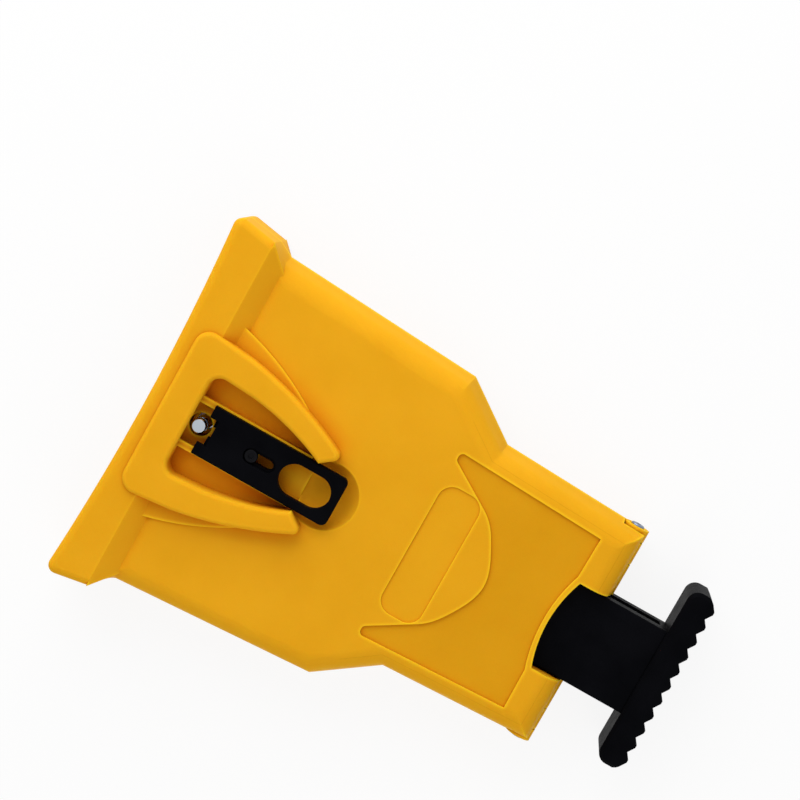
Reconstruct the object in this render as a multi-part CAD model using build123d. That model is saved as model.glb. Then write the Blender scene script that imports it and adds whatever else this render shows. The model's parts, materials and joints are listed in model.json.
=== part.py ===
from build123d import *
import math
import os

os.makedirs("parts", exist_ok=True)

# Millimetres. While it is drawn, x runs back from the front corners of the mouth to the push foot,
# y is the half width, and z is the height above the parting plane of the two shells.
# placed() then moves each piece to the frame of the part: the origin lies under its middle.

# Outline of the shells in plan, from the mouth to the rear end of the grip
flange_length = 15.6
flange_slope_length = 5.9
body_length = 74.3
shoulder_length = 20.8
grip_length = 56.4
flange_half_width = 66.5
mouth_flare = 2.7
body_front_half_width = 63.5
body_rear_half_width = 58.8
grip_front_half_width = 43.9
grip_rear_half_width = 41.4
mouth_bow = 2.8
flange_corner_radius = 3.0

# Heights and walls of the shells
lower_depth = 16.0
face_height = 14.5
flange_height = 19.0
wall = 2.2
floor_thickness = 2.5
side_draft = 14
lower_draft = 10
edge_round = 7.5
lower_edge_round = 3.0
rib_thickness = 1.6
inner_channel = 8.0
parting_gap = 0.15
diagonal_rib_count = 5
diagonal_rib_angle = 38

# Mouth for the guide bar, and the plane that the bar lies in
bar_gap = 4.4
mouth_half_opening = 46.0
mouth_half_height = 5.0
bar_rib_half_width = 20.0
bar_rib_places = (17.5, 34.0, 66.0, 88.0)

# Corner bosses with their sockets, and the pegs of the upper shell
boss_x = 9.0
boss_setback = 9.2
boss_radius = 5.5
boss_socket_radius = 3.25
peg_clearance = 0.25
peg_reach = 5.0
peg_tip = 0.8

# Finger frame that surrounds the latch
ring_front_x = 8.0
ring_half_width = 31.2
ring_side_x = 28.5
ring_side_half_width = 29.1
ring_bend_x = 52.0
ring_bend_half_width = 22.9
ring_tip_x = 70.9
ring_tip_half_width = 14.5
ring_tip_inner_x = 64.0
ring_tip_inner_half_width = 9.3
ring_height_over_face = 6.5
ring_corner_radius = 5.6
ring_tip_radius = 2.0
ring_edge_round = 1.6
window_front_x = 19.3
window_half_width = 18.7
window_side_x = 34.5
window_side_half_width = 17.7
window_bend_x = 51.0
window_bend_half_width = 14.3
window_corner_radius = 4.2
pad_height = 0.9
pad_front_half_width = 37.6
pad_bend_x = 35.0
pad_bend_half_width = 31.9
pad_rear_x = 54.0
pad_rear_half_width = 21.8

# Well under the latch slide, with its two rails
well_depth = 3.0
rail_half_gap = 7.25
rail_thickness = 2.4
rail_top_over_face = 0.8
rail_front_x = 17.2
rail_rear_x = 61.5
dish_x = 70.9
dish_radius = 11.9
dish_depth = 5.5
dish_front_x = 63.8
arm_clearance = 0.35

# Latch slide
slide_front_x = 24.7
slide_length = 51.4
slide_half_width = 9.0
slide_height = 3.1
slide_gap = 0.1
slide_travel = 6.5
slide_corner_radius = 2.3
slide_edge = 0.4
notch_half_width = 4.8
notch_length = 3.4
tongue_half_width = 7.0
tongue_depth = 2.2
tongue_length = 26.0
fork_half_slot = 1.95
fork_mouth_setback = 2.3
fork_plate = 1.8
head_cavity_half_width = 3.1
head_cavity_height = 2.1
finger_hole_x = 63.6
finger_hole_length = 19.0
finger_hole_width = 11.4
screw_slot_width = 5.2
screw_slot_depth = 1.9
screw_slot_front_gap = 0.3
shank_slot_width = 3.3
neck_step_gap = 0.3

# Latch screw
latch_screw_x = 43.0
latch_screw_head_radius = 2.4
latch_screw_head_height = 1.5
latch_screw_radius = 1.5
screw_clearance = 0.05
screw_tip_cover = 1.4

# Pins that hold the guide bar
latch_pin_x = 22.7
pin_spacing = 22.0
pin_radius = 2.6
pin_root_radius = 3.1
neck_radius = 1.7
neck_height = 2.3
head_height = 1.7
pin_chamfer = 0.4
locating_pin_height = 6.0
locating_pin_step_radius = 2.0
locating_pin_step_height = 1.6
pin_hole_radius = 4.0
pin_boss_radius = 6.0
pin_seat_clearance = 0.03
pin_web = 2.0
pin_bore_depth = 8.0

# Screws and washers under the pins
pin_screw_radius = 1.5
pin_screw_head_radius = 2.9
pin_screw_head_height = 2.1
pin_screw_length = 9.0
washer_radius = 3.1
washer_thickness = 0.5
counterbore_radius = 3.4
counterbore_depth = 4.0

# Hinge at the rear end of the shells
hinge_setback = 4.5
barrel_radius = 4.5
barrel_clearance = 0.3
knuckle_gap = 0.4
inner_lug_width = 11.6
upper_knuckle_width = 8.0
hinge_screw_radius = 1.5
hinge_screw_head_radius = 2.4
hinge_screw_head_height = 1.6
hinge_head_proud = 0.7
hinge_running_clearance = 0.06
nut_flats = 5.5
nut_height = 2.4
nut_setback = 0.1
nut_clearance = 0.1
lug_side_gap = 0.3

# Plunger: carriage, stem and push foot
plunger_travel = 9.0
stem_half_width = 16.05
stem_top = 9.5
stem_bottom = 8.5
stem_exposed = 21.3
stem_clearance = 0.55
lip_clearance = 0.4
stem_edge_round = 0.8
groove_depth = 2.5
groove_half_height = 3.5
tongue_guide_clearance = 0.3
head_half_width = 31.0
head_top = 6.5
head_plate_length = 12.6
head_side_gap = 0.4
head_rest_gap = 0.3
arm_overrun = 0.8
stem_pocket_wall = 4.4
stem_pocket_inner = 6.9
stem_solid_end = 20.0
stem_ceiling = 2.2
foot_length = 10.3
foot_bevel_length = 3.4
foot_bevel_depth = 1.8
foot_key_length = 2.5
foot_key_clearance = 0.1
foot_half_width = 33.5
foot_half_height = 11.5
tooth_depth = 1.8
tooth_count = 11
tooth_margin = 1.4
foot_front_radius = 4.0
foot_edge = 1.2
foot_screw_spacing = 16.0
foot_screw_radius = 1.5
foot_screw_head_radius = 2.9
foot_screw_head_height = 2.2
foot_screw_depth = 9.0
foot_screw_sink = 1.0
foot_screw_head_clearance = 0.3

# Grinding stone
stone_front_x = 119.0
stone_half_length = 28.0
stone_front_radius = 37.0
stone_rear_radius = 31.0
stone_thickness = 14.5
stone_height = 13.0
stone_edge = 0.5
stone_side_clearance = 0.3
pocket_floor = 2.0

# Return spring
spring_radius = 4.5
spring_wire = 1.0
spring_turns = 10
spring_end_gap = 0.3
channel_clearance = 0.4
post_thickness = 2.2
post_half_width = 3.6
post_top = 3.0
post_gap = 0.3
post_wall = 2.3
spigot_radius = 2.9
spigot_length = 3.5
spring_room = 27.2
window_length = 5.5
window_width = 11.0

# Grip panel and its inlay
panel_depth = 0.8
panel_tip_x = 103.8
panel_front_half_width = 35.6
panel_tip_half_width = 32.4
panel_waist_x = 119.5
panel_waist_half_width = 22.7
panel_swell_x = 127.6
panel_swell_half_width = 13.7
panel_apex_x = 132.7
panel_rear_x = 158.8
panel_rear_half_width = 33.1
panel_tip_radius = 1.6
panel_rim = 1.7
inlay_front_x = 104.2
inlay_rear_x = 119.4
inlay_half_width = 24.5
inlay_radius = 5.3
inlay_depth = 0.5
stem_mouth_apex_x = 157.2
stem_mouth_bow = 3.0

# One overrun serves all cuts
over = 1.0

# Places that follow from the sizes above
mouth_half_width = flange_half_width + mouth_flare
boss_y = mouth_half_width - boss_setback
neck_x = flange_length + flange_slope_length
shoulder_x = neck_x + body_length
grip_x = shoulder_x + shoulder_length
shell_length = grip_x + grip_length
overall_length = shell_length + stem_exposed + foot_length
foot_x = shell_length + stem_exposed
hinge_x = shell_length - hinge_setback
ring_top = face_height + ring_height_over_face
well_floor = face_height - well_depth
rail_top = face_height + rail_top_over_face
slide_bottom = rail_top + slide_gap
slide_top = slide_bottom + slide_height
tongue_bottom = slide_bottom - tongue_depth
fork_top = tongue_bottom + fork_plate
slide_rear_x = slide_front_x + slide_length
locating_pin_x = latch_pin_x + pin_spacing
half_gap = bar_gap / 2
neck_base = tongue_bottom - neck_step_gap
neck_top = neck_base + neck_height
pin_top = neck_top + head_height
counterbore_top = -lower_depth + counterbore_depth
pin_bottom = counterbore_top + pin_web
stem_mouth_half_width = stem_half_width + stem_clearance
inner_lug_y = stem_mouth_half_width + lug_side_gap
knuckle_y = inner_lug_y + inner_lug_width + knuckle_gap
outer_lug_y = knuckle_y + upper_knuckle_width + knuckle_gap
stone_rear_x = stone_front_x + stone_thickness
stone_hollow = stone_front_radius - math.sqrt(stone_front_radius**2 - stone_half_length**2)
stone_end_x = stone_front_x - stone_hollow
head_front_x = stone_end_x - arm_overrun
head_rear_x = stone_rear_x + head_plate_length
channel_front_x = stone_rear_x + post_wall
post_x = channel_front_x + post_gap
spring_front_x = post_x + post_thickness + spring_end_gap
channel_rear_x = post_x + post_thickness + spring_room
channel_half_width = spring_radius + channel_clearance
grip_taper = (grip_front_half_width - grip_rear_half_width) / grip_length
hinge_face_y = grip_rear_half_width + grip_taper * hinge_setback
guide_y = head_half_width + head_side_gap
relief = barrel_radius + barrel_clearance
ceiling = face_height - wall
lower_floor = -lower_depth + floor_thickness
tooth_pitch = 2 * (foot_half_width - tooth_margin) / tooth_count
latch_screw_seat = slide_top - screw_slot_depth
latch_screw_tip = locating_pin_height + screw_tip_cover
recess_top = locating_pin_height + screw_tip_cover / 2
dish_sphere_radius = (dish_radius**2 + dish_depth**2) / dish_depth / 2
hinge_head_y = hinge_face_y + hinge_head_proud - hinge_screw_head_height
nut_y = inner_lug_y + nut_setback
foot_head_x = foot_x + foot_length - tooth_depth - foot_screw_head_height - foot_screw_sink
slide_rail_y = stem_half_width - stem_pocket_wall / 2 - rib_thickness / 2


def placed(shape):
    """Moves a drawn piece to the frame of the part, whose origin is below the middle of its box."""
    return Pos(-(front_x + overall_length) / 2, 0, lower_depth) * shape


def box(x0, x1, y0, y1, z0, z1):
    """A box between two corners."""
    size = (x1 - x0, y1 - y0, z1 - z0)
    return Pos((x0 + x1) / 2, (y0 + y1) / 2, (z0 + z1) / 2) * Box(*size)


def pair(shape):
    """A shape and its mirror image across the middle plane."""
    return shape + mirror(shape, about=Plane.XZ)


def upright(radius, x, y, z0, z1):
    """A vertical cylinder from z0 to z1."""
    return Pos(x, y, (z0 + z1) / 2) * Cylinder(radius, z1 - z0)


def across(radius, x, z, y0, y1):
    """A cylinder along y."""
    return Pos(x, (y0 + y1) / 2, z) * Rot(90, 0, 0) * Cylinder(radius, y1 - y0)


def along(radius, x0, x1, y, z):
    """A cylinder along x."""
    return Pos((x0 + x1) / 2, y, z) * Rot(0, 90, 0) * Cylinder(radius, x1 - x0)


def outline(half_points):
    """A symmetric face from the corners of its upper half, front to rear."""
    left = [(x, -y) for x, y in half_points]
    right = list(reversed(half_points))
    return Sketch() + Polygon(*(left + right), align=None)


def body_outline(inset=0):
    """The shell behind the flange: body, shoulders and grip."""
    flare_share = flange_slope_length / body_length
    flare = (body_front_half_width - body_rear_half_width) * flare_share
    face = outline([
        (flange_length, body_front_half_width + flare),
        (shoulder_x, body_rear_half_width),
        (grip_x, grip_front_half_width),
        (shell_length, grip_rear_half_width),
    ])
    return offset(face, -inset, kind=Kind.INTERSECTION) if inset else face


def flange_outline(inset=0):
    """The flange at the mouth, whose front edge bows back in the middle."""
    low = (inset, -mouth_half_width + inset)
    high = (inset, mouth_half_width - inset)
    bow = ThreePointArc(high, (mouth_bow + inset, 0), low)
    rear = Polyline(
        low,
        (flange_length, -flange_half_width + inset),
        (flange_length, flange_half_width - inset),
        high,
    )
    return Sketch() + make_face(Curve() + bow + rear)


def slope_section(x, half_width, lean, top):
    """A section across the shell, whose sides lean in by the given length at the top."""
    plane = Plane(origin=(x, 0, 0), x_dir=(0, 1, 0), z_dir=(1, 0, 0))
    low = [(half_width, 0), (-half_width, 0)]
    high = [(lean - half_width, top), (half_width - lean, top)]
    return plane * Polygon(*low, *high, align=None)


def flange_slope(height, draft, inset=0):
    """The slanted rear of the flange, which meets the body at the neck and runs on below it."""
    reach_share = 1.5
    body_top = min(face_height, height)
    lean = body_top * math.tan(math.radians(draft)) * reach_share
    narrowing = (flange_half_width - body_front_half_width) * reach_share
    rear_top = height - (height - body_top) * reach_share - inset
    rear_half = flange_half_width - narrowing - inset
    rear_x = flange_length + flange_slope_length * reach_share
    front = slope_section(flange_length, flange_half_width - inset, 0, height - inset)
    return loft([front, slope_section(rear_x, rear_half, lean, rear_top)], ruled=True)


def drafted_body(depth, draft, inset=0):
    """The body behind the flange, whose sides lean in by the draft."""
    lean = depth * math.tan(math.radians(draft))
    return loft([body_outline(inset), Pos(0, 0, depth) * body_outline(inset + lean)], ruled=True)


def half_shell(depth, draft, rounding, flange_depth):
    """The outer form of one shell, drawn upwards from the parting plane."""
    body = drafted_body(depth, draft)
    body = fillet(body.edges().group_by(Axis.Z)[-1], rounding)
    flange = extrude(flange_outline(), flange_depth)
    flange = fillet(flange.edges().filter_by(Axis.Z).group_by(Axis.X)[0], flange_corner_radius)
    rim = flange.edges().group_by(Axis.Z)[-1]
    flange = fillet([edge for edge in rim if edge.center().X < flange_length - over], flange_corner_radius)
    return body + flange + flange_slope(flange_depth, draft)


def half_cavity(depth, draft, rounding, flange_depth):
    """The hollow of one shell, drawn upwards from below the parting plane."""
    body = drafted_body(depth, draft, wall)
    body = fillet(body.edges().group_by(Axis.Z)[-1], rounding - wall)
    flange = extrude(flange_outline(wall), flange_depth - wall)
    skirt = extrude(body_outline(wall), -over) + extrude(flange_outline(wall), -over)
    return body + flange + flange_slope(flange_depth, draft, wall) + skirt


def channel_walls(bottom, top):
    """The inner wall along both sides, and the slanted ribs that join it to the outer one."""
    outer = body_outline(wall + inner_channel)
    strip = outer - offset(outer, -rib_thickness, kind=Kind.INTERSECTION)
    walls = Pos(0, 0, bottom) * extrude(strip, top - bottom)
    front_x = flange_length + wall + inner_channel + rib_thickness
    walls &= pair(box(front_x, grip_x, guide_y - over, mouth_half_width, bottom, top))
    for index in range(diagonal_rib_count):
        place_share = (index + 1 / 2) / diagonal_rib_count
        half = body_front_half_width + (body_rear_half_width - body_front_half_width) * place_share
        middle = half - wall - inner_channel / 2
        rib = Rot(0, 0, diagonal_rib_angle) * Box(rib_thickness, inner_channel * 2, top - bottom)
        walls += pair(Pos(neck_x + body_length * place_share, middle, (bottom + top) / 2) * rib)
    return walls


def bar_ribs(bottom, top):
    """Transverse ribs that bear on the guide bar."""
    ribs = Part()
    for x in bar_rib_places:
        ribs += box(x, x + rib_thickness, -bar_rib_half_width, bar_rib_half_width, bottom, top)
    return ribs


def guide_walls(bottom, top):
    """Walls on both sides of the carriage head, from the shoulders back to the hinge."""
    front_x = shoulder_x + shoulder_length / 2
    return pair(box(front_x, hinge_x - relief, guide_y, guide_y + rib_thickness, bottom, top))


def mouth_opening():
    """The slot through both flanges for the bar and its chain."""
    half = mouth_half_opening
    return box(-over, flange_length, -half, half, -mouth_half_height, mouth_half_height)


def make_lower_shell():
    """The lower half: a tray with the pins' bosses, the guides of the plunger and the hinge lugs."""
    flip = Plane.XY
    shell = mirror(half_shell(lower_depth, lower_draft, lower_edge_round, lower_depth), about=flip)
    hollow = half_cavity(lower_depth - floor_thickness, lower_draft, lower_edge_round, lower_depth)
    hollow = mirror(hollow, about=flip)
    hollow &= box(-over, overall_length, -mouth_half_width, mouth_half_width, lower_floor, over)
    inside = channel_walls(lower_floor, 0) + guide_walls(lower_floor, 0)
    inside += bar_ribs(lower_floor, -half_gap)
    inside += pair(upright(boss_radius, boss_x, boss_y, lower_floor, 0))
    rail_level = -stem_bottom - tongue_guide_clearance
    rail_y = slide_rail_y + rib_thickness
    inside += pair(box(head_front_x, shell_length - wall, slide_rail_y, rail_y, lower_floor, rail_level))
    for x in (latch_pin_x, locating_pin_x):
        inside += upright(pin_boss_radius, x, 0, lower_floor, -half_gap)
    inside += lower_guide_blocks()
    inside += spring_post() + lug_supports()
    shell -= hollow - inside
    shell -= mouth_opening()
    hole_radius = pin_screw_radius + screw_clearance
    for x in (latch_pin_x, locating_pin_x):
        shell -= upright(counterbore_radius, x, 0, -lower_depth - over, counterbore_top)
        shell -= upright(hole_radius, x, 0, counterbore_top - over, pin_bottom + over)
        shell -= upright(pin_root_radius + pin_seat_clearance, x, 0, pin_bottom, over)
    shell -= pair(upright(boss_socket_radius, boss_x, boss_y, -peg_reach - over, over))
    half = stem_mouth_half_width
    shell -= box(hinge_x - relief, overall_length, -half, half, rail_level, over)
    return shell + lower_lugs() - hinge_holes() - grip_recess(-lower_depth, -panel_depth)


def lower_guide_blocks():
    """Stops behind the carriage head, and walls that lead the stem to the mouth."""
    stop_x = head_rear_x + head_rest_gap
    half = stem_mouth_half_width
    blocks = pair(box(stop_x, stop_x + wall, half, guide_y + rib_thickness, lower_floor, 0))
    return blocks + pair(box(stop_x, shell_length, half, half + wall, lower_floor, 0))


def spring_post():
    """The post that holds the front end of the return spring, with its spigot."""
    return box(post_x, post_x + post_thickness, -post_half_width, post_half_width, lower_floor, 0)


def post_head():
    """The part of the post that stands above the parting plane."""
    top = box(post_x, post_x + post_thickness, -post_half_width, post_half_width, -over, post_top)
    spigot_x = post_x + post_thickness
    return top + along(spigot_radius, spigot_x - post_thickness / 2, spigot_x + spigot_length, 0, 0)


def lug_supports():
    """Solid feet below the hinge lugs of the lower shell."""
    front_x = hinge_x - barrel_radius
    inner = box(front_x, shell_length, inner_lug_y, inner_lug_y + inner_lug_width, lower_floor, 0)
    return pair(inner + box(front_x, shell_length, outer_lug_y, hinge_face_y, lower_floor, 0))


def lower_lugs():
    """Hinge lugs of the lower shell and the tongues that run in the grooves of the stem."""
    inner = across(barrel_radius, hinge_x, 0, inner_lug_y, inner_lug_y + inner_lug_width)
    outer = across(barrel_radius, hinge_x, 0, outer_lug_y, hinge_face_y)
    half = groove_half_height - tongue_guide_clearance
    root_y = stem_half_width - groove_depth + tongue_guide_clearance
    end_x = hinge_x + barrel_radius / 2
    tongue = box(hinge_x - barrel_radius, end_x, root_y, inner_lug_y + wall, -half, half)
    return pair(inner + outer + tongue) + post_head()


def hinge_holes():
    """Bores for the hinge screws, seats for their heads and pockets for their nuts."""
    tip = inner_lug_y - over
    bore = across(hinge_screw_radius + hinge_running_clearance, hinge_x, 0, tip, hinge_face_y + over)
    head = across(hinge_screw_head_radius + nut_clearance, hinge_x, 0, hinge_head_y, hinge_face_y + over)
    room = across(relief, hinge_x, 0, knuckle_y - knuckle_gap, outer_lug_y)
    return pair(bore + head + nut_form(nut_clearance) + room)


def nut_form(clearance=0):
    """The hexagon of a hinge nut, lying across the grip."""
    radius = (nut_flats / 2 + clearance) / math.cos(math.radians(30))
    start = nut_y - (nut_setback + over if clearance else 0)
    plane = Plane(origin=(hinge_x, start, 0), x_dir=(1, 0, 0), z_dir=(0, 1, 0))
    return extrude(plane * RegularPolygon(radius, 6), nut_y + nut_height - start)


def grip_recess(level, depth):
    """The sunk panel of the grip."""
    return Pos(0, 0, level) * extrude(panel_face(), -depth)


def panel_face():
    """The grip panel: pointed tips, a waist that swells towards the foot, and a rear hollow."""
    edge_run = (panel_waist_x - panel_tip_x, panel_tip_half_width - panel_waist_half_width)
    front = Spline(
        (panel_waist_x, -panel_waist_half_width),
        (panel_swell_x, -panel_swell_half_width),
        (panel_apex_x, 0),
        (panel_swell_x, panel_swell_half_width),
        (panel_waist_x, panel_waist_half_width),
        tangents=[edge_run, (-edge_run[0], edge_run[1])],
    )
    rear_arc_x = stem_mouth_apex_x + stem_mouth_bow - panel_rim
    rear_half = stem_mouth_half_width + panel_rim
    rear = ThreePointArc(
        (rear_arc_x, rear_half),
        (stem_mouth_apex_x - panel_rim, 0),
        (rear_arc_x, -rear_half),
    )
    high = Polyline(
        (panel_waist_x, panel_waist_half_width),
        (panel_tip_x, panel_tip_half_width),
        (panel_tip_x, panel_front_half_width),
        (panel_rear_x, panel_rear_half_width),
        (rear_arc_x, rear_half),
    )
    low = Polyline(
        (rear_arc_x, -rear_half),
        (panel_rear_x, -panel_rear_half_width),
        (panel_tip_x, -panel_front_half_width),
        (panel_tip_x, -panel_tip_half_width),
        (panel_waist_x, -panel_waist_half_width),
    )
    face = make_face(Curve() + front + high + rear + low)
    tips = face.vertices().group_by(Axis.X)[0]
    return fillet(tips, panel_tip_radius)


def window_edges():
    """Half of the window of the finger frame, which is also the outline of the well."""
    straight = Polyline(
        (window_front_x, 0),
        (window_front_x, window_half_width),
        (window_side_x, window_side_half_width),
    )
    bend = ThreePointArc(
        (window_side_x, window_side_half_width),
        (window_bend_x, window_bend_half_width),
        (ring_tip_inner_x, ring_tip_inner_half_width),
    )
    return straight, bend


def ring_edges():
    """Half of the outer edge of the finger frame, from its front to its tip."""
    straight = Polyline(
        (ring_front_x, 0),
        (ring_front_x, ring_half_width),
        (ring_side_x, ring_side_half_width),
    )
    bend = ThreePointArc(
        (ring_side_x, ring_side_half_width),
        (ring_bend_x, ring_bend_half_width),
        (ring_tip_x, ring_tip_half_width),
    )
    return straight, bend


def whole(parts):
    """A face from the lines of its upper half, whose two ends lie on the x axis or are closed there."""
    curve = Curve()
    for part in parts:
        curve += part
        curve += mirror(part, about=Plane.XZ)
    return make_face(curve)


def window_face():
    """The window, closed by a straight rear side."""
    straight, bend = window_edges()
    rear = Line((ring_tip_inner_x, ring_tip_inner_half_width), (ring_tip_inner_x, 0))
    face = whole((straight, bend, rear))
    return fillet(face.vertices().group_by(Axis.X)[0], window_corner_radius)


def ring_face():
    """The finger frame: a front arm and two sides that end in blunt tips beside the latch."""
    straight, bend = ring_edges()
    inner_straight, inner_bend = window_edges()
    tip = Line((ring_tip_x, ring_tip_half_width), (ring_tip_inner_x, ring_tip_inner_half_width))
    outer = Curve() + straight + bend + tip + inner_bend + inner_straight
    half = Curve() + outer + Line((window_front_x, 0), (ring_front_x, 0))
    face = make_face(half)
    face += mirror(face, about=Plane.XZ)
    outer_corners = face.vertices().group_by(Axis.X)[0]
    face = fillet(outer_corners, ring_corner_radius)
    near_window = [v for v in face.vertices() if abs(v.X - window_front_x) < over]
    face = fillet([v for v in near_window if abs(v.Y) > rail_half_gap], window_corner_radius)
    tips = [v for v in face.vertices() if abs(v.X - ring_tip_x) < over / 2]
    return fillet(tips, ring_tip_radius)


def make_ring():
    """The finger frame, rounded along its top."""
    ring = extrude(ring_face(), ring_top - well_floor)
    ring = fillet(ring.edges().group_by(Axis.Z)[-1], ring_edge_round)
    return Pos(0, 0, well_floor) * ring


def make_pad():
    """The low step around the finger frame, which runs back from the slope of the flange."""
    side = ThreePointArc(
        (flange_length, pad_front_half_width),
        (pad_bend_x, pad_bend_half_width),
        (pad_rear_x, pad_rear_half_width),
    )
    front = Line((flange_length, 0), (flange_length, pad_front_half_width))
    rear = Line((pad_rear_x, pad_rear_half_width), (pad_rear_x, 0))
    return Pos(0, 0, ceiling) * extrude(whole((front, side, rear)), wall + pad_height)


def stem_mouth(offset_x=0):
    """The outline of the cut above the stem, with its bowed front edge."""
    half = stem_mouth_half_width
    corner_x = stem_mouth_apex_x + stem_mouth_bow + offset_x
    bow = ThreePointArc((corner_x, half), (stem_mouth_apex_x + offset_x, 0), (corner_x, -half))
    sides = Polyline((corner_x, -half), (overall_length, -half), (overall_length, half), (corner_x, half))
    return make_face(Curve() + bow + sides)


def upper_inside():
    """Ribs, guides and bosses under the skin of the upper shell."""
    inside = channel_walls(parting_gap, ceiling) + guide_walls(parting_gap, ceiling)
    inside += bar_ribs(half_gap, flange_height)
    well = offset(window_face(), wall, kind=Kind.INTERSECTION)
    inside += Pos(0, 0, well_floor - wall) * extrude(well, flange_height)
    inside += dish_form(wall)
    inside += upright(pin_hole_radius + wall, latch_pin_x, 0, half_gap, ceiling)
    inside += upright(pin_hole_radius + wall, locating_pin_x, 0, half_gap, ceiling)
    inside += pair(upright(boss_radius, boss_x, boss_y, parting_gap, flange_height))
    lip_bottom = stem_top + lip_clearance
    lip = stem_mouth(-wall) - stem_mouth()
    inside += Pos(0, 0, lip_bottom) * extrude(lip, ceiling - lip_bottom + over)
    half = stem_mouth_half_width
    inside += pair(box(stem_mouth_apex_x, shell_length, half, half + wall, relief, ceiling))
    knuckle_end = knuckle_y + upper_knuckle_width
    inside += pair(box(hinge_x - barrel_radius, hinge_x, knuckle_y, knuckle_end, 0, ceiling))
    return inside


def hinge_relief():
    """Room above the lugs of the lower shell and behind the hinge axis."""
    front_x = hinge_x - relief
    lower = box(front_x, overall_length, -knuckle_y, knuckle_y, -over, relief)
    outer = pair(box(front_x, overall_length, outer_lug_y - knuckle_gap, mouth_half_width, -over, relief))
    behind = pair(box(hinge_x, overall_length, knuckle_y - over, outer_lug_y + over, -over, relief))
    return lower + outer + behind


def well_cuts():
    """The well of the latch, the way in under the front arm and the finger dish."""
    well = Pos(0, 0, well_floor) * extrude(window_face(), flange_height)
    behind = box(dish_front_x, grip_x, -ring_half_width, ring_half_width, 0, flange_height)
    return well + (dish_form() & behind)


def dish_form(thickness=0):
    """The ball that hollows the finger dish, or the outside of its wall."""
    middle = face_height - dish_depth + dish_sphere_radius
    return Pos(dish_x, 0, middle) * Sphere(dish_sphere_radius + thickness)


def arm_cut():
    """The space under the front arm that the slide and the rails reach into."""
    rail_y = rail_half_gap + rail_thickness
    return box(rail_front_x, window_front_x + over, -rail_y, rail_y, well_floor, slide_top + arm_clearance)


def make_upper_shell():
    """The upper half, with the finger frame, the well of the latch and the grip panel."""
    shell = half_shell(face_height, side_draft, edge_round, flange_height)
    hollow = half_cavity(ceiling, side_draft, edge_round, flange_height)
    shell -= hollow - upper_inside()
    shell += make_pad()
    shell -= well_cuts()
    shell += make_ring()
    shell -= arm_cut()
    rail_y = rail_half_gap + rail_thickness
    rail_root = well_floor - wall / 2
    shell += pair(box(rail_front_x, rail_rear_x, rail_half_gap, rail_y, rail_root, rail_top))
    shell -= Pos(0, 0, ceiling - over) * extrude(stem_mouth(), flange_height)
    half = stem_mouth_half_width
    shell -= box(hinge_x - relief, overall_length, -half, half, 0, flange_height)
    shell -= mouth_opening()
    side = mouth_half_width + over
    shell -= box(-over, overall_length, -side, side, -over, parting_gap)
    shell -= hinge_relief()
    shell -= carriage_room()
    knuckle_end = knuckle_y + upper_knuckle_width
    shell += pair(across(barrel_radius, hinge_x, 0, knuckle_y, knuckle_end))
    shell += pair(box(hinge_x - barrel_radius, hinge_x, knuckle_y, knuckle_end, 0, relief))
    shell -= pair(across(hinge_screw_radius + hinge_running_clearance, hinge_x, 0,
                         knuckle_y - over, outer_lug_y + over))
    shell -= upright(pin_hole_radius, latch_pin_x, 0, 0, flange_height)
    shell -= upright(pin_hole_radius, locating_pin_x, 0, 0, recess_top)
    screw_radius = latch_screw_radius + screw_clearance
    shell -= upright(screw_radius, latch_screw_x, 0, latch_screw_tip, flange_height)
    shell -= grip_recess(face_height, panel_depth)
    shell -= grip_inlay()
    return shell + pegs()


def carriage_room():
    """Room for the carriage head and the stone over the whole travel."""
    front = head_front_x - plunger_travel - over
    return box(front, head_rear_x + over, -guide_y, guide_y, -over, head_top + over)


def grip_inlay():
    """The shallow rounded inlay between the tips of the grip panel."""
    length = inlay_rear_x - inlay_front_x
    face = RectangleRounded(length, inlay_half_width * 2, inlay_radius)
    middle = (inlay_front_x + inlay_rear_x) / 2
    return Pos(middle, 0, face_height) * extrude(face, -inlay_depth)


def pegs():
    """Pegs that centre the shells in the corner sockets."""
    radius = boss_socket_radius - peg_clearance
    peg = upright(radius, boss_x, boss_y, -peg_reach + peg_tip, flange_height - wall)
    tip = Pos(boss_x, boss_y, -peg_reach + peg_tip / 2) * Cone(radius - peg_tip, radius, peg_tip)
    return pair(peg + tip)


def slot_face(x0, x1, width):
    """A slot along x with round ends, between its two extreme places."""
    return Pos((x0 + x1) / 2, 0) * SlotOverall(x1 - x0, width)


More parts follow.
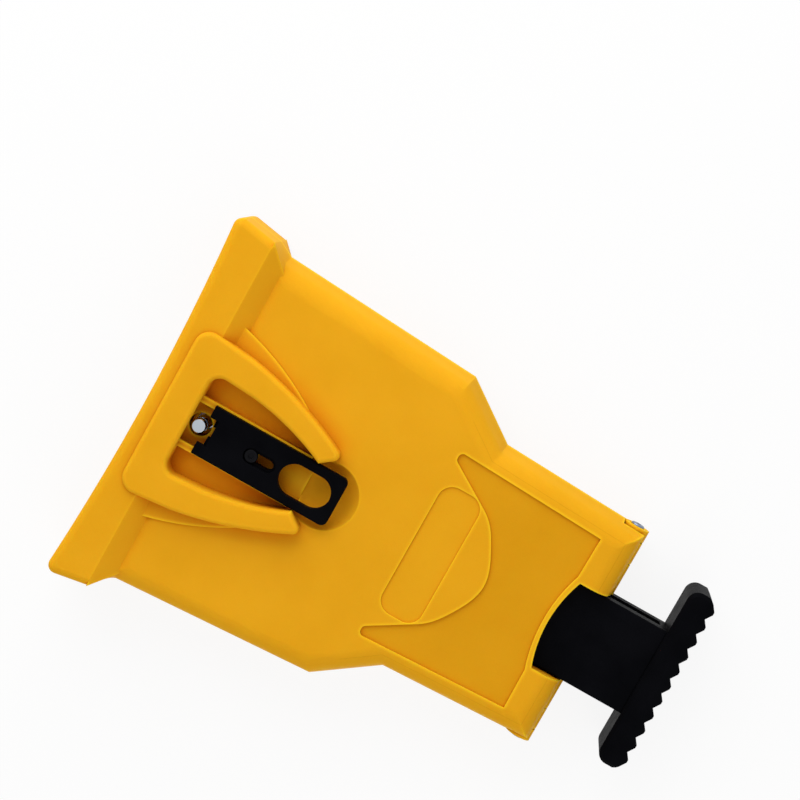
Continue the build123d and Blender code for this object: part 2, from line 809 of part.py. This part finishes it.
def make_latch_slide():
    """The slide: a plate with a finger hole, and below it the fork that grips the latch pin."""
    rear = slide_rear_x
    plate = box(slide_front_x, rear, -slide_half_width, slide_half_width, slide_bottom, slide_top)
    plate = fillet(plate.edges().filter_by(Axis.Z).group_by(Axis.X)[-1], slide_corner_radius)
    plate = chamfer(plate.edges().group_by(Axis.Z)[-1], slide_edge)
    mouth = slide_front_x + fork_mouth_setback
    half = tongue_half_width
    tongue = box(mouth, mouth + tongue_length, -half, half, tongue_bottom, slide_bottom + over)
    slide = plate + tongue
    half = notch_half_width
    notch_end = slide_front_x + notch_length
    slide -= box(slide_front_x - over, notch_end, -half, half, slide_bottom, slide_top + over)
    end = latch_pin_x + slide_travel
    open_end = slide_front_x - notch_length * 2
    neck = slot_face(open_end, end + fork_half_slot, fork_half_slot * 2)
    slide -= Pos(0, 0, tongue_bottom - over) * extrude(neck, fork_plate + over * 2)
    cavity = slot_face(open_end, end + head_cavity_half_width, head_cavity_half_width * 2)
    slide -= Pos(0, 0, fork_top) * extrude(cavity, head_cavity_height)
    half = finger_hole_length / 2
    hole = slot_face(finger_hole_x - half, finger_hole_x + half, finger_hole_width)
    slide -= Pos(0, 0, tongue_bottom - over) * extrude(hole, flange_height)
    front = latch_screw_x - latch_screw_head_radius - screw_slot_front_gap
    back = latch_screw_x + slide_travel + latch_screw_head_radius + screw_slot_front_gap
    seat = slot_face(front, back, screw_slot_width)
    slide -= Pos(0, 0, latch_screw_seat) * extrude(seat, flange_height)
    margin = (screw_slot_width - shank_slot_width) / 2
    shank = slot_face(front + margin, back - margin, shank_slot_width)
    return slide - Pos(0, 0, tongue_bottom - over) * extrude(shank, flange_height)


def round_screw(radius, length, head_radius, head_height):
    """A pan head screw that points down, with the underside of its head at z = 0."""
    screw = upright(radius, 0, 0, -length, 0) + upright(head_radius, 0, 0, 0, head_height)
    rounding_share = 0.35
    screw = fillet(screw.edges().group_by(Axis.Z)[-1], head_height * rounding_share)
    recess_share = 0.45
    recess = extrude(RegularPolygon(head_radius * recess_share, 6), -head_height / 2)
    return screw - Pos(0, 0, head_height) * recess


def make_latch_screw():
    """The screw that the slide runs on."""
    length = latch_screw_seat - latch_screw_tip - slide_gap
    screw = round_screw(latch_screw_radius, length, latch_screw_head_radius, latch_screw_head_height)
    return Pos(latch_screw_x, 0, latch_screw_seat + slide_gap) * screw


def make_latch_pin():
    """The long pin: the bar hangs on its shank, and the fork of the slide grips its neck."""
    pin = upright(pin_root_radius, latch_pin_x, 0, pin_bottom, -half_gap)
    pin += upright(pin_radius, latch_pin_x, 0, -half_gap, neck_base)
    pin += upright(neck_radius, latch_pin_x, 0, neck_base, neck_top)
    pin += upright(pin_radius, latch_pin_x, 0, neck_top, pin_top)
    pin = chamfer(pin.edges().group_by(Axis.Z)[-1], pin_chamfer)
    return pin - pin_bore(latch_pin_x)


def make_locating_pin():
    """The short pin, with a thinner end that finds the second hole of the bar."""
    step = locating_pin_height - locating_pin_step_height
    pin = upright(pin_root_radius, locating_pin_x, 0, pin_bottom, -half_gap)
    pin += upright(pin_radius, locating_pin_x, 0, -half_gap, step)
    pin += upright(locating_pin_step_radius, locating_pin_x, 0, step, locating_pin_height)
    pin = chamfer(pin.edges().group_by(Axis.Z)[-1], pin_chamfer)
    return pin - pin_bore(locating_pin_x)


def pin_bore(x):
    """The blind threaded hole in the foot of a pin."""
    return upright(pin_screw_radius + screw_clearance, x, 0, pin_bottom - over, pin_bottom + pin_bore_depth)


def make_pin_screws():
    """The two screws that hold the pins from below."""
    screw = round_screw(pin_screw_radius, pin_screw_length, pin_screw_head_radius, pin_screw_head_height)
    screw = Pos(0, 0, counterbore_top - washer_thickness) * Rot(180, 0, 0) * screw
    return Pos(latch_pin_x, 0, 0) * screw + Pos(locating_pin_x, 0, 0) * screw


def make_pin_washers():
    """The washers between the pins' screws and the shell."""
    ring = Circle(washer_radius) - Circle(pin_screw_radius + screw_clearance)
    washer = Pos(0, 0, counterbore_top - washer_thickness) * extrude(ring, washer_thickness)
    return Pos(latch_pin_x, 0, 0) * washer + Pos(locating_pin_x, 0, 0) * washer


def make_hinge_screws():
    """The hinge screws, pushed in from both sides of the grip."""
    length = hinge_head_y - nut_y
    screw = round_screw(hinge_screw_radius, length, hinge_screw_head_radius, hinge_screw_head_height)
    return pair(Pos(hinge_x, hinge_head_y, 0) * Rot(-90, 0, 0) * screw)


def make_hinge_nuts():
    """The nuts that lock the hinge screws."""
    end = nut_y + nut_height
    nut = nut_form() - across(hinge_screw_radius + screw_clearance, hinge_x, 0, nut_y - over, end + over)
    return pair(nut)


def make_carriage():
    """The plunger: a head with the pocket of the stone, and a grooved stem."""
    half = stem_half_width
    stem = box(head_rear_x - over, foot_x, -half, half, -stem_bottom, stem_top)
    long_edges = stem.edges().filter_by(Axis.X).group_by(Axis.Z)[-1]
    stem = fillet(long_edges, stem_edge_round)
    groove_y = half - groove_depth
    level = groove_half_height
    stem -= pair(box(head_rear_x, foot_x + over, groove_y, half + over, -level, level))
    head = box(head_front_x, head_rear_x, -head_half_width, head_half_width, -stem_bottom, head_top)
    head = fillet(head.edges().filter_by(Axis.Z), arm_overrun)
    carriage = head + stem
    inner = stone_half_length + stone_side_clearance
    floor = -stem_bottom + pocket_floor
    carriage -= box(head_front_x - over, stone_rear_x, -inner, inner, floor, stem_top + over)
    side = channel_half_width
    carriage -= box(channel_front_x, channel_rear_x, -side, side, -stem_bottom - over, 0)
    carriage -= along(side, channel_front_x, channel_rear_x, 0, 0)
    window = Rot(0, 0, 90) * SlotOverall(window_width, window_length)
    carriage -= Pos(channel_front_x + window_length / 2, 0, 0) * extrude(window, head_top + over)
    solid_x = foot_x - stem_solid_end
    top = stem_top - stem_ceiling
    outer_y = half - stem_pocket_wall
    pocket = box(head_rear_x, solid_x, stem_pocket_inner, outer_y, -stem_bottom - over, top)
    carriage -= pair(pocket)
    screw_end = foot_x - foot_screw_depth
    for y in (-foot_screw_spacing / 2, foot_screw_spacing / 2):
        carriage -= along(foot_screw_radius + screw_clearance, screw_end, foot_x + over, y, 0)
    return carriage


def make_push_foot():
    """The foot that is pressed against a tree, with upright teeth on its rear face."""
    front, valley, tip = foot_x, foot_x + foot_length - tooth_depth, foot_x + foot_length
    tip_share = 0.18
    points = [(front, -foot_half_width), (valley - tooth_depth, -foot_half_width)]
    points.append((valley, -foot_half_width + tooth_margin))
    for index in range(tooth_count):
        start = -foot_half_width + tooth_margin + index * tooth_pitch
        points.append((tip, start + tooth_pitch * (1 - tip_share) / 2))
        points.append((tip, start + tooth_pitch * (1 + tip_share) / 2))
        points.append((valley, start + tooth_pitch))
    points += [(valley - tooth_depth, foot_half_width), (front, foot_half_width)]
    face = Sketch() + Polygon(*points, align=None)
    foot = Pos(0, 0, -foot_half_height) * extrude(face, foot_half_height * 2)
    foot = fillet(foot.edges().filter_by(Axis.Z).group_by(Axis.X)[0], foot_front_radius)
    groups = foot.edges().group_by(Axis.Z)
    rims = [edge for edge in groups[0] + groups[-1] if edge.center().X < front + foot_front_radius]
    foot = chamfer(rims, foot_edge)
    foot -= foot_bevels(tip)
    foot += foot_keys()
    head_radius = foot_screw_head_radius + foot_screw_head_clearance
    for y in (-foot_screw_spacing / 2, foot_screw_spacing / 2):
        foot -= along(foot_screw_radius + screw_clearance, foot_x - over, tip + over, y, 0)
        foot -= along(head_radius, foot_head_x, tip + over, y, 0)
    return foot


def foot_bevels(tip_x):
    """The slanted cuts above and below the teeth."""
    plane = Plane(origin=(0, -foot_half_width - over, 0), x_dir=(1, 0, 0), z_dir=(0, 1, 0))
    start_x = tip_x - foot_bevel_length
    slope = foot_bevel_depth / foot_bevel_length
    level = foot_half_height + over
    corner_x = start_x - over / slope
    end_x = tip_x + over
    end_level = foot_half_height - slope * (end_x - start_x)
    upper = Polygon((corner_x, -level), (end_x, -level), (end_x, -end_level), align=None)
    lower = Polygon((corner_x, level), (end_x, end_level), (end_x, level), align=None)
    return extrude(plane * (Sketch() + upper + lower), (foot_half_width + over) * 2)


def foot_keys():
    """Keys of the foot that sit in the ends of the stem's grooves."""
    inner = stem_half_width - groove_depth + foot_key_clearance
    level = groove_half_height - foot_key_clearance
    return pair(box(foot_x - foot_key_length, foot_x + over, inner, stem_half_width, -level, level))


def make_foot_screws():
    """The two screws that hold the foot on the stem."""
    length = foot_head_x - (foot_x - foot_screw_depth) - foot_screw_sink
    screw = round_screw(foot_screw_radius, length, foot_screw_head_radius, foot_screw_head_height)
    screws = Part()
    for y in (-foot_screw_spacing / 2, foot_screw_spacing / 2):
        screws += Pos(foot_head_x, y, 0) * Rot(0, 90, 0) * screw
    return screws


def make_stone():
    """The crescent of grinding stone, hollow towards the bar."""
    half = stone_half_length
    front_end = stone_end_x
    rear_end = stone_rear_x - stone_rear_radius + math.sqrt(stone_rear_radius**2 - half**2)
    front = ThreePointArc((front_end, -half), (stone_front_x, 0), (front_end, half))
    rear = ThreePointArc((rear_end, half), (stone_rear_x, 0), (rear_end, -half))
    ends = Curve() + Line((front_end, half), (rear_end, half)) + Line((rear_end, -half), (front_end, -half))
    stone = extrude(make_face(Curve() + front + rear + ends), stone_height)
    stone = chamfer(stone.edges().group_by(Axis.Z)[-1], stone_edge)
    return Pos(0, 0, -stem_bottom + pocket_floor) * stone


def helix_point(angle, radius, pitch):
    """A point of the spring's centre line, which runs along x."""
    turn = 2 * math.pi
    return Vector(pitch * angle / turn, radius * math.cos(angle), radius * math.sin(angle))


def helix_tangent(angle, radius, pitch):
    """The direction of the spring's centre line."""
    turn = 2 * math.pi
    return Vector(pitch / turn, -radius * math.sin(angle), radius * math.cos(angle)).normalized()


def biarc(start, start_tangent, end, end_tangent):
    """Two arcs that join smoothly and keep the directions at both ends."""
    chord = end - start
    total = start_tangent + end_tangent
    bend = 2 * (1 - start_tangent.dot(end_tangent))
    across_total = chord.dot(total)
    reach = (math.sqrt(across_total**2 + bend * chord.dot(chord)) - across_total) / bend
    first = start + start_tangent * reach
    last = end - end_tangent * reach
    middle = (first + last) * (1 / 2)
    first_arc = Edge.make_tangent_arc(start, start_tangent, middle)
    return first_arc, Edge.make_tangent_arc(middle, last - first, end)


def make_spring():
    """The return spring: one wire wound round the spigot of the post."""
    radius = spring_radius - spring_wire / 2
    room = channel_rear_x - spring_end_gap - spring_front_x - spring_wire
    pitch = room / spring_turns
    steps = 4
    edges = []
    angles = [2 * math.pi * index / steps for index in range(spring_turns * steps + 1)]
    places = [(helix_point(angle, radius, pitch), helix_tangent(angle, radius, pitch)) for angle in angles]
    for start, end in zip(places, places[1:]):
        edges += biarc(*start, *end)
    path = Wire(edges)
    plane = Plane(origin=helix_point(0, radius, pitch), z_dir=helix_tangent(0, radius, pitch))
    spring = sweep(plane * Circle(spring_wire / 2), path=path)
    print("least gap between the turns of the spring", round(spring_gap(radius, pitch), 2))
    return Pos(spring_front_x + spring_wire / 2, 0, 0) * spring


def spring_gap(radius, pitch):
    """The least distance between points of neighbouring turns, less the wire."""
    samples = 72
    least = math.inf
    for index in range(samples):
        low = 2 * math.pi * index / samples
        for other in range(-samples // 4, samples // 4 + 1):
            high = low + 2 * math.pi * (1 + other / samples)
            gap = (helix_point(low, radius, pitch) - helix_point(high, radius, pitch)).length
            least = min(least, gap)
    return least - spring_wire


def export(name, shape):
    """Writes one node."""
    export_step(placed(shape), f"parts/{name}.step")
    print(name, round(shape.volume / 1000, 3), len(shape.solids()))


lower_shell = make_lower_shell()
upper_shell = make_upper_shell()
# The rounded corners of the mouth end a little behind the line that x is measured from.
front_x = min(lower_shell.bounding_box().min.X, upper_shell.bounding_box().min.X)
export("lower_shell", lower_shell)
export("upper_shell", upper_shell)
export("latch_slide", make_latch_slide())
export("latch_screw", make_latch_screw())
export("latch_pin", make_latch_pin())
export("locating_pin", make_locating_pin())
export("pin_screws", make_pin_screws())
export("pin_washers", make_pin_washers())
export("hinge_screws", make_hinge_screws())
export("hinge_nuts", make_hinge_nuts())
export("carriage", make_carriage())
export("push_foot", make_push_foot())
export("foot_screws", make_foot_screws())
export("grinding_stone", make_stone())
export("return_spring", make_spring())
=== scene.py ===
"""Chainsaw sharpener: the looks, the return spring, the camera and the studio around its CAD frame."""

import json
import math

import bpy
from mathutils import Matrix, Vector


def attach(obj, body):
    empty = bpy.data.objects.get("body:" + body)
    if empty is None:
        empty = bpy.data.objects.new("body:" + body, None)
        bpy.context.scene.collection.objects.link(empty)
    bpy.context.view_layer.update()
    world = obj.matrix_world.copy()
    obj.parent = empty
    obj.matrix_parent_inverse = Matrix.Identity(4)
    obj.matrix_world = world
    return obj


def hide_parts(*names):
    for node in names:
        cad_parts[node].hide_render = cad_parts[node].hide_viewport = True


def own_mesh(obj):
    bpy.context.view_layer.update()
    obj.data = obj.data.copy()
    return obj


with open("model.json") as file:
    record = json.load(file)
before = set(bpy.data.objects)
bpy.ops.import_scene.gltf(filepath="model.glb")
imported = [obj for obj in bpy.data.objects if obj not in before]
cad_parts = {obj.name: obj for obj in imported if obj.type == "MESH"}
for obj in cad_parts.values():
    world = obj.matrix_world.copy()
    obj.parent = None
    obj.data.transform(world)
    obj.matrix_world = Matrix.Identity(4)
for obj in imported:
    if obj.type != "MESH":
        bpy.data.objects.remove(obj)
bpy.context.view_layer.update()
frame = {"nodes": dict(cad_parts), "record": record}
NODES = frame["nodes"]

# Sizes are in metres unless a name says otherwise
MM = 0.001

# The floors of the two grip panels, on the upper and on the lower shell, lie behind PANEL_FRONT_X
PANEL_DEPTH = 0.8 * MM
FACE_HEIGHT = 30.5 * MM
PANEL_FLOORS = (FACE_HEIGHT - PANEL_DEPTH, PANEL_DEPTH)
PANEL_FRONT_X = 0.0
PANEL_MARGIN = 0.05 * MM

# How the CAD meshes are shaded
JOIN_DISTANCE = 0.002 * MM
SHARP_DEGREES = 30

# Linear colours, and tones that multiply a colour
WHITE = (1, 1, 1, 1)
PANEL_TONE = (0.90, 0.87, 0.72, 1)
# Painted shade in recesses, the deepest and the deep tone
PAINTED_SHADE_DEEPEST = (0.30, 0.13, 0.05, 1)
PAINTED_SHADE_DEEP = (0.86, 0.56, 0.32, 1)
BLACK_GLOSS = (0.72, 0.84, 1.0, 1)
FLOOR_PAINT = (0.9, 0.9, 0.9, 1)

# Colours as the 0 to 255 values that a picture shows
YELLOW_DARKER = (232, 166, 26)
YELLOW_LIGHTER = (238, 172, 30)
# The painted highlight along the outer edges of the yellow moulding
YELLOW_PAINTED_EDGE_HIGHLIGHT = (255, 200, 34)
BLACK_DARKER = (7, 7, 9)
BLACK_LIGHTER = (12, 12, 15)
CHROME = (172, 179, 188)
ZINC = (126, 136, 156)
SPRING_WIRE = (190, 194, 200)
SCREW_BLACK = (20, 20, 22)

# Colours of the grains of the stone, each with its place among the grains from 0 to 1
STONE_TONES = (
    (0.0, (150, 48, 88)),
    (0.45, (176, 68, 108)),
    (0.85, (190, 82, 120)),
    (1.0, (208, 112, 146)),
)

# Shares of open space that give the deepest, the deep and the plain tone of the painted shade in
# recesses
DEEPEST_SHARE, DEEP_SHARE, PLAIN_SHARE = 0.02, 0.4, 0.88

# Shares of open space inside the wall, on a flat face and at a full edge, for the painted highlight
# along edges
FLAT_SHARE, EDGE_SHARE = 0.97, 0.65

# How much brighter a metal is in its light clouds
METAL_GAIN = 1.12

# The camera, fitted to the outline and the fittings of the photographed object. Angles are in radians
TARGET = Vector((-0.025262, 0.039088, 0.016))
DISTANCE = 0.831728
TILT_Y, TILT_X, ROLL = 0.117951, 0.013572, 0.511506
FOCAL_PIXELS = 2442.66
IMAGE_PIXELS = 800
SENSOR_WIDTH_MM = 36
CLIP_NEAR, CLIP_FAR = 0.05, 20

# The studio
WORLD_STRENGTH = 0.50
SEEN_STRENGTH = 1.0
FLOOR_WHITE_SHARE = 0.88
FLOOR_REACH = 6
FLOOR_HEIGHT = -0.2 * MM
LAMP_AIM = (0, 0, 16 * MM)

# Sockets that colours use on a Mix node
MIX_FIRST, MIX_SECOND, MIX_RESULT = 6, 7, 2


def srgb(red, green, blue):
    """Linear colour from the 0 to 255 values that a picture shows, by the sRGB curve."""
    def linear(value):
        share = value / 255
        return share / 12.92 if share <= 0.04045 else ((share + 0.055) / 1.055) ** 2.4
    return (linear(red), linear(green), linear(blue), 1.0)


class Tree:
    """A short way to write a node tree."""

    def __init__(self, tree):
        self.tree = tree

    def new(self, kind, inputs=(), **settings):
        """A node with its settings made and its inputs linked or set."""
        node = self.tree.nodes.new(kind)
        for key, value in settings.items():
            setattr(node, key, value)
        for key, value in dict(inputs).items():
            self.put(node.inputs[key], value)
        return node

    def put(self, socket, value):
        """Links a socket to another one, or gives it a value."""
        if isinstance(value, bpy.types.NodeSocket):
            self.tree.links.new(value, socket)
        else:
            socket.default_value = value

    def calculate(self, operation, *values):
        """The result of a Math node."""
        return self.new("ShaderNodeMath", enumerate(values), operation=operation).outputs[0]

    def view_rays(self):
        """1 for rays from the camera, mirrors and glass."""
        path = self.new("ShaderNodeLightPath").outputs
        most = self.calculate("MAXIMUM", path["Is Camera Ray"], path["Is Glossy Ray"])
        return self.calculate("MAXIMUM", most, path["Is Transmission Ray"])

    def mix_shaders(self, share, first, second, surface):
        """Sends a mix of two shaders to the surface socket of an output."""
        mix = self.new("ShaderNodeMixShader", {0: share, 1: first.outputs[0], 2: second.outputs[0]})
        self.put(surface, mix.outputs[0])


class Material(Tree):
    """A short way to write a node material, with patterns fixed to the piece."""

    def __init__(self, name):
        self.material = bpy.data.materials.new(name)
        self.material.use_nodes = True
        super().__init__(self.material.node_tree)
        self.shader = self.tree.nodes["Principled BSDF"]
        self.place = self.new("ShaderNodeTexCoord").outputs["Object"]

    def set(self, **values):
        """Links or sets inputs of the shader, whose names have spaces for the underscores."""
        for key, value in values.items():
            self.put(self.shader.inputs[key.replace("_", " ")], value)

    def noise(self, scale, detail=3.0, roughness=0.5):
        """A cloudy pattern."""
        inputs = {"Vector": self.place, "Scale": scale, "Detail": detail, "Roughness": roughness}
        return self.new("ShaderNodeTexNoise", inputs).outputs["Fac"]

    def ramp(self, factor, stops):
        """Colours at places between 0 and 1, with even changes between them."""
        node = self.new("ShaderNodeValToRGB", {"Fac": factor})
        ramp = node.color_ramp
        while len(ramp.elements) < len(stops):
            ramp.elements.new(0.5)
        for element, (place, colour) in zip(ramp.elements, stops):
            element.position = place
            element.color = colour
        return node.outputs["Color"]

    def level(self, factor, low, high):
        """A factor between 0 and 1, moved to between low and high."""
        inputs = {"Value": factor, "To Min": low, "To Max": high}
        return self.new("ShaderNodeMapRange", inputs).outputs["Result"]

    def blend(self, share, first, second, **settings):
        """The first colour, turning into the second one by a share unless the settings say otherwise."""
        inputs = {"Factor": share, MIX_FIRST: first, MIX_SECOND: second}
        return self.new("ShaderNodeMix", inputs, data_type="RGBA", **settings).outputs[MIX_RESULT]

    def shade(self, colour, factor):
        """A colour made darker or lighter by a factor."""
        return self.blend(1.0, colour, factor, blend_type="MULTIPLY")

    def occlusion(self, reach, **settings):
        """Share of a half sphere over the flat face, or under it, that holds no surface within reach."""
        face = self.new("ShaderNodeNewGeometry").outputs["True Normal"]
        inputs = {"Distance": reach, "Normal": face}
        return self.new("ShaderNodeAmbientOcclusion", inputs, **settings).outputs["AO"]

    def painted_recess_shade(self, reach, deepest, deep):
        """White in the open, and two deeper tones of painted shade where nearby walls shut out the
        light.
        """
        stops = [(DEEPEST_SHARE, deepest), (DEEP_SHARE, deep), (PLAIN_SHARE, WHITE)]
        return self.ramp(self.occlusion(reach, samples=4), stops)

    def painted_highlight_share(self, reach):
        """The share of a painted highlight, 0 on flat faces and up to 1 along outer edges, where a
        moulding lets light through.
        """
        thick = self.occlusion(reach, samples=8, inside=True)
        inputs = {"Value": thick, "From Min": FLAT_SHARE, "From Max": EDGE_SHARE}
        return self.new("ShaderNodeMapRange", inputs).outputs["Result"]

    def panel_tone(self):
        """White, and a shade darker on the floors of the two grip panels."""
        place = self.new("ShaderNodeSeparateXYZ", {"Vector": self.place}).outputs
        behind = self.calculate("GREATER_THAN", place["X"], PANEL_FRONT_X)
        floors = [self.calculate("COMPARE", place["Z"], height, PANEL_MARGIN) for height in PANEL_FLOORS]
        mask = self.calculate("MULTIPLY", self.calculate("MAXIMUM", *floors), behind)
        return self.ramp(mask, [(0, WHITE), (1, PANEL_TONE)])

    def edge_normal(self, radius):
        """A normal that rounds every sharp edge by a radius."""
        return self.new("ShaderNodeBevel", {"Radius": radius}, samples=6).outputs["Normal"]

    def bump(self, height, strength, distance, normal=None):
        """A normal that follows a pattern, on top of another normal if one is given."""
        inputs = {"Height": height, "Strength": strength, "Distance": distance}
        if normal is not None:
            inputs["Normal"] = normal
        return self.new("ShaderNodeBump", inputs).outputs["Normal"]


def yellow_plastic():
    """Satin orange-yellow moulding with a fine spark texture, faint flow marks and softened edges, with
    painted shade in recesses and a painted highlight along outer edges.
    """
    m = Material("housing_plastic")
    clouds = m.noise(scale=38, detail=4, roughness=0.55)
    base = m.ramp(clouds, [(0.3, srgb(*YELLOW_DARKER)), (0.7, srgb(*YELLOW_LIGHTER))])
    specks = m.noise(scale=1700, detail=2, roughness=0.7)
    base = m.shade(base, m.level(specks, low=0.965, high=1.03))
    base = m.shade(base, m.panel_tone())
    # Painted shade where nearby walls shut out the light
    base = m.shade(base, m.painted_recess_shade(reach=7 * MM, deepest=PAINTED_SHADE_DEEPEST, deep=PAINTED_SHADE_DEEP))
    # Painted highlight along outer edges, lighter where a moulding lets light through
    painted_edge_glow = m.level(m.painted_highlight_share(reach=1.2 * MM), low=0, high=0.9)
    base = m.blend(painted_edge_glow, base, srgb(*YELLOW_PAINTED_EDGE_HIGHLIGHT))
    flow = m.noise(scale=90, detail=2, roughness=0.4)
    sparks = m.noise(scale=2600, detail=2, roughness=0.6)
    normal = m.edge_normal(radius=0.35 * MM)
    normal = m.bump(flow, strength=0.10, distance=0.6 * MM, normal=normal)
    normal = m.bump(sparks, strength=0.16, distance=0.12 * MM, normal=normal)
    m.set(Base_Color=base, Roughness=m.level(m.noise(scale=240), low=0.44, high=0.56), Normal=normal)
    m.set(Specular_IOR_Level=0.012, Subsurface_Weight=0.3, Subsurface_Scale=2 * MM)
    m.set(Subsurface_Radius=(1.0, 0.45, 0.08))
    return m.material


def black_plastic():
    """Black nylon with a fine matt grain."""
    m = Material("black_plastic")
    clouds = m.noise(scale=60, detail=4)
    base = m.ramp(clouds, [(0.35, srgb(*BLACK_DARKER)), (0.7, srgb(*BLACK_LIGHTER))])
    specks = m.noise(scale=1900, detail=2, roughness=0.7)
    base = m.shade(base, m.level(specks, low=0.75, high=1.3))
    grain = m.noise(scale=2800, detail=2, roughness=0.65)
    normal = m.bump(grain, strength=0.30, distance=0.14 * MM, normal=m.edge_normal(radius=0.3 * MM))
    m.set(Base_Color=base, Roughness=m.level(m.noise(scale=300), low=0.36, high=0.5), Normal=normal)
    m.set(Specular_IOR_Level=0.008, Specular_Tint=BLACK_GLOSS)
    return m.material


def metal(name, colour, smoothest, roughest):
    """Bare or plated metal with faint clouds, fine scratches and softened edges."""
    m = Material(name)
    plain = srgb(*colour)
    bright = tuple(min(1, share * METAL_GAIN) for share in plain[:3]) + (1.0,)
    base = m.ramp(m.noise(scale=120), [(0.3, plain), (0.75, bright)])
    scratches = m.noise(scale=1600, detail=2)
    normal = m.bump(scratches, strength=0.08, distance=0.06 * MM, normal=m.edge_normal(radius=0.15 * MM))
    roughness = m.level(m.noise(scale=400), low=smoothest, high=roughest)
    m.set(Base_Color=base, Metallic=1.0, Roughness=roughness, Normal=normal)
    return m.material


def stone():
    """Pink bonded abrasive with coarse grains in several tones."""
    m = Material("pink_stone")
    cells = m.new("ShaderNodeTexVoronoi", {"Vector": m.place, "Scale": 2600.0})
    grain = m.new("ShaderNodeSeparateColor", {"Color": cells.outputs["Color"]}).outputs["Red"]
    base = m.ramp(grain, [(place, srgb(*colour)) for place, colour in STONE_TONES])
    normal = m.bump(cells.outputs["Distance"], strength=0.6, distance=0.3 * MM)
    normal = m.bump(m.noise(scale=900, detail=4), strength=0.35, distance=0.3 * MM, normal=normal)
    m.set(Base_Color=base, Roughness=m.level(grain, low=0.75, high=0.95), Normal=normal)
    m.set(Specular_IOR_Level=0.3)
    return m.material


def smooth(piece):
    """Smooth shading over the joined CAD faces that keeps edges sharper than SHARP_DEGREES."""
    for face in piece.data.polygons:
        face.use_smooth = True
    piece.modifiers.new("joined_faces", "WELD").merge_threshold = JOIN_DISTANCE
    piece.modifiers.new("sharp_edges", "EDGE_SPLIT").split_angle = math.radians(SHARP_DEGREES)
    piece.modifiers.new("flat_faces", "WEIGHTED_NORMAL")


def add_object(name, data):
    """A new object in the scene."""
    made = bpy.data.objects.new(name, data)
    bpy.context.scene.collection.objects.link(made)
    return made


def shortening_spring():
    """The return spring, as a smoothed copy carried by the base in place of the CAD spring."""
    spring = add_object("return_spring_coil", NODES["return_spring"].data.copy())
    smooth(spring)
    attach(spring, "base")
    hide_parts("return_spring")
    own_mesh(spring)


def photo_camera():
    """The camera of the photo, almost straight above and a little to the +Y side, turned by ROLL."""
    back = Vector((math.sin(TILT_X), math.sin(TILT_Y), 0))
    back.z = math.sqrt(1 - back.x**2 - back.y**2)
    across = Vector((0, 1, 0)) - back * back.y
    across.normalize()
    along = across.cross(back)
    right = along * math.cos(ROLL) + across * math.sin(ROLL)
    up = across * math.cos(ROLL) - along * math.sin(ROLL)
    turn = Matrix((right, up, back)).transposed().to_4x4()
    lens = bpy.data.cameras.new("camera")
    lens.sensor_width = SENSOR_WIDTH_MM
    lens.lens = SENSOR_WIDTH_MM * FOCAL_PIXELS / IMAGE_PIXELS
    lens.clip_start, lens.clip_end = CLIP_NEAR, CLIP_FAR
    camera = add_object("camera", lens)
    camera.matrix_world = Matrix.Translation(TARGET + back * DISTANCE) @ turn
    bpy.context.scene.camera = camera


def studio_world():
    """A soft even light from all around that looks white."""
    world = bpy.data.worlds.new("studio")
    bpy.context.scene.world = world
    world.use_nodes = True
    nodes = Tree(world.node_tree)
    lit = nodes.tree.nodes["Background"]
    nodes.put(lit.inputs["Color"], WHITE)
    nodes.put(lit.inputs["Strength"], WORLD_STRENGTH)
    shown = nodes.new("ShaderNodeBackground", {"Color": WHITE, "Strength": SEEN_STRENGTH})
    nodes.mix_shaders(nodes.view_rays(), lit, shown, nodes.tree.nodes["World Output"].inputs["Surface"])


def lamp(name, place, size, power):
    """A round soft lamp that points at the part."""
    data = bpy.data.lights.new(name, "AREA")
    data.shape = "DISK"
    data.size = size
    data.energy = power
    body = add_object(name, data)
    body.location = place
    body.rotation_euler = (Vector(LAMP_AIM) - Vector(place)).to_track_quat("-Z", "Y").to_euler()


def floor_paint():
    """Pale paint that keeps a soft shadow and is nearly white where it is seen."""
    paint = Material("pale_floor")
    paint.set(Base_Color=FLOOR_PAINT, Roughness=0.8)
    white = paint.new("ShaderNodeEmission", {"Strength": SEEN_STRENGTH})
    share = paint.calculate("MULTIPLY", paint.view_rays(), FLOOR_WHITE_SHARE)
    surface = paint.tree.nodes["Material Output"].inputs["Surface"]
    paint.mix_shaders(share, paint.shader, white, surface)
    return paint.material


def studio_floor():
    """A wide flat floor just below the part."""
    mesh = bpy.data.meshes.new("floor")
    signs = ((-1, -1), (1, -1), (1, 1), (-1, 1))
    corners = [(x * FLOOR_REACH, y * FLOOR_REACH, 0) for x, y in signs]
    mesh.from_pydata(corners, [], [(0, 1, 2, 3)])
    mesh.materials.append(floor_paint())
    floor = add_object("floor", mesh)
    floor.location.z = FLOOR_HEIGHT


MATERIALS = {
    "housing": yellow_plastic(),
    "black_plastic": black_plastic(),
    "chrome_steel": metal("chrome", CHROME, smoothest=0.06, roughest=0.14),
    "steel": metal("zinc_steel", ZINC, smoothest=0.24, roughest=0.42),
    "spring_steel": metal("spring_wire", SPRING_WIRE, smoothest=0.16, roughest=0.3),
    "stone": stone(),
}

for part in frame["record"]["subparts"]:
    piece = NODES[part["node"]]
    piece.data.materials.clear()
    piece.data.materials.append(MATERIALS[part["material_slot"]])
    smooth(piece)

# The photo shows the screw of the latch in black, while the other steel fasteners are plated
NODES["latch_screw"].data.materials[0] = metal("dark_screw", SCREW_BLACK, smoothest=0.3, roughest=0.48)

shortening_spring()
photo_camera()
studio_world()
lamp("key", place=(-0.46, 0.62, 0.45), size=1.0, power=6.6)
lamp("fill", place=(0.6, -0.7, 0.9), size=1.2, power=3.8)
studio_floor()

bpy.context.scene.view_settings.view_transform = "Standard"
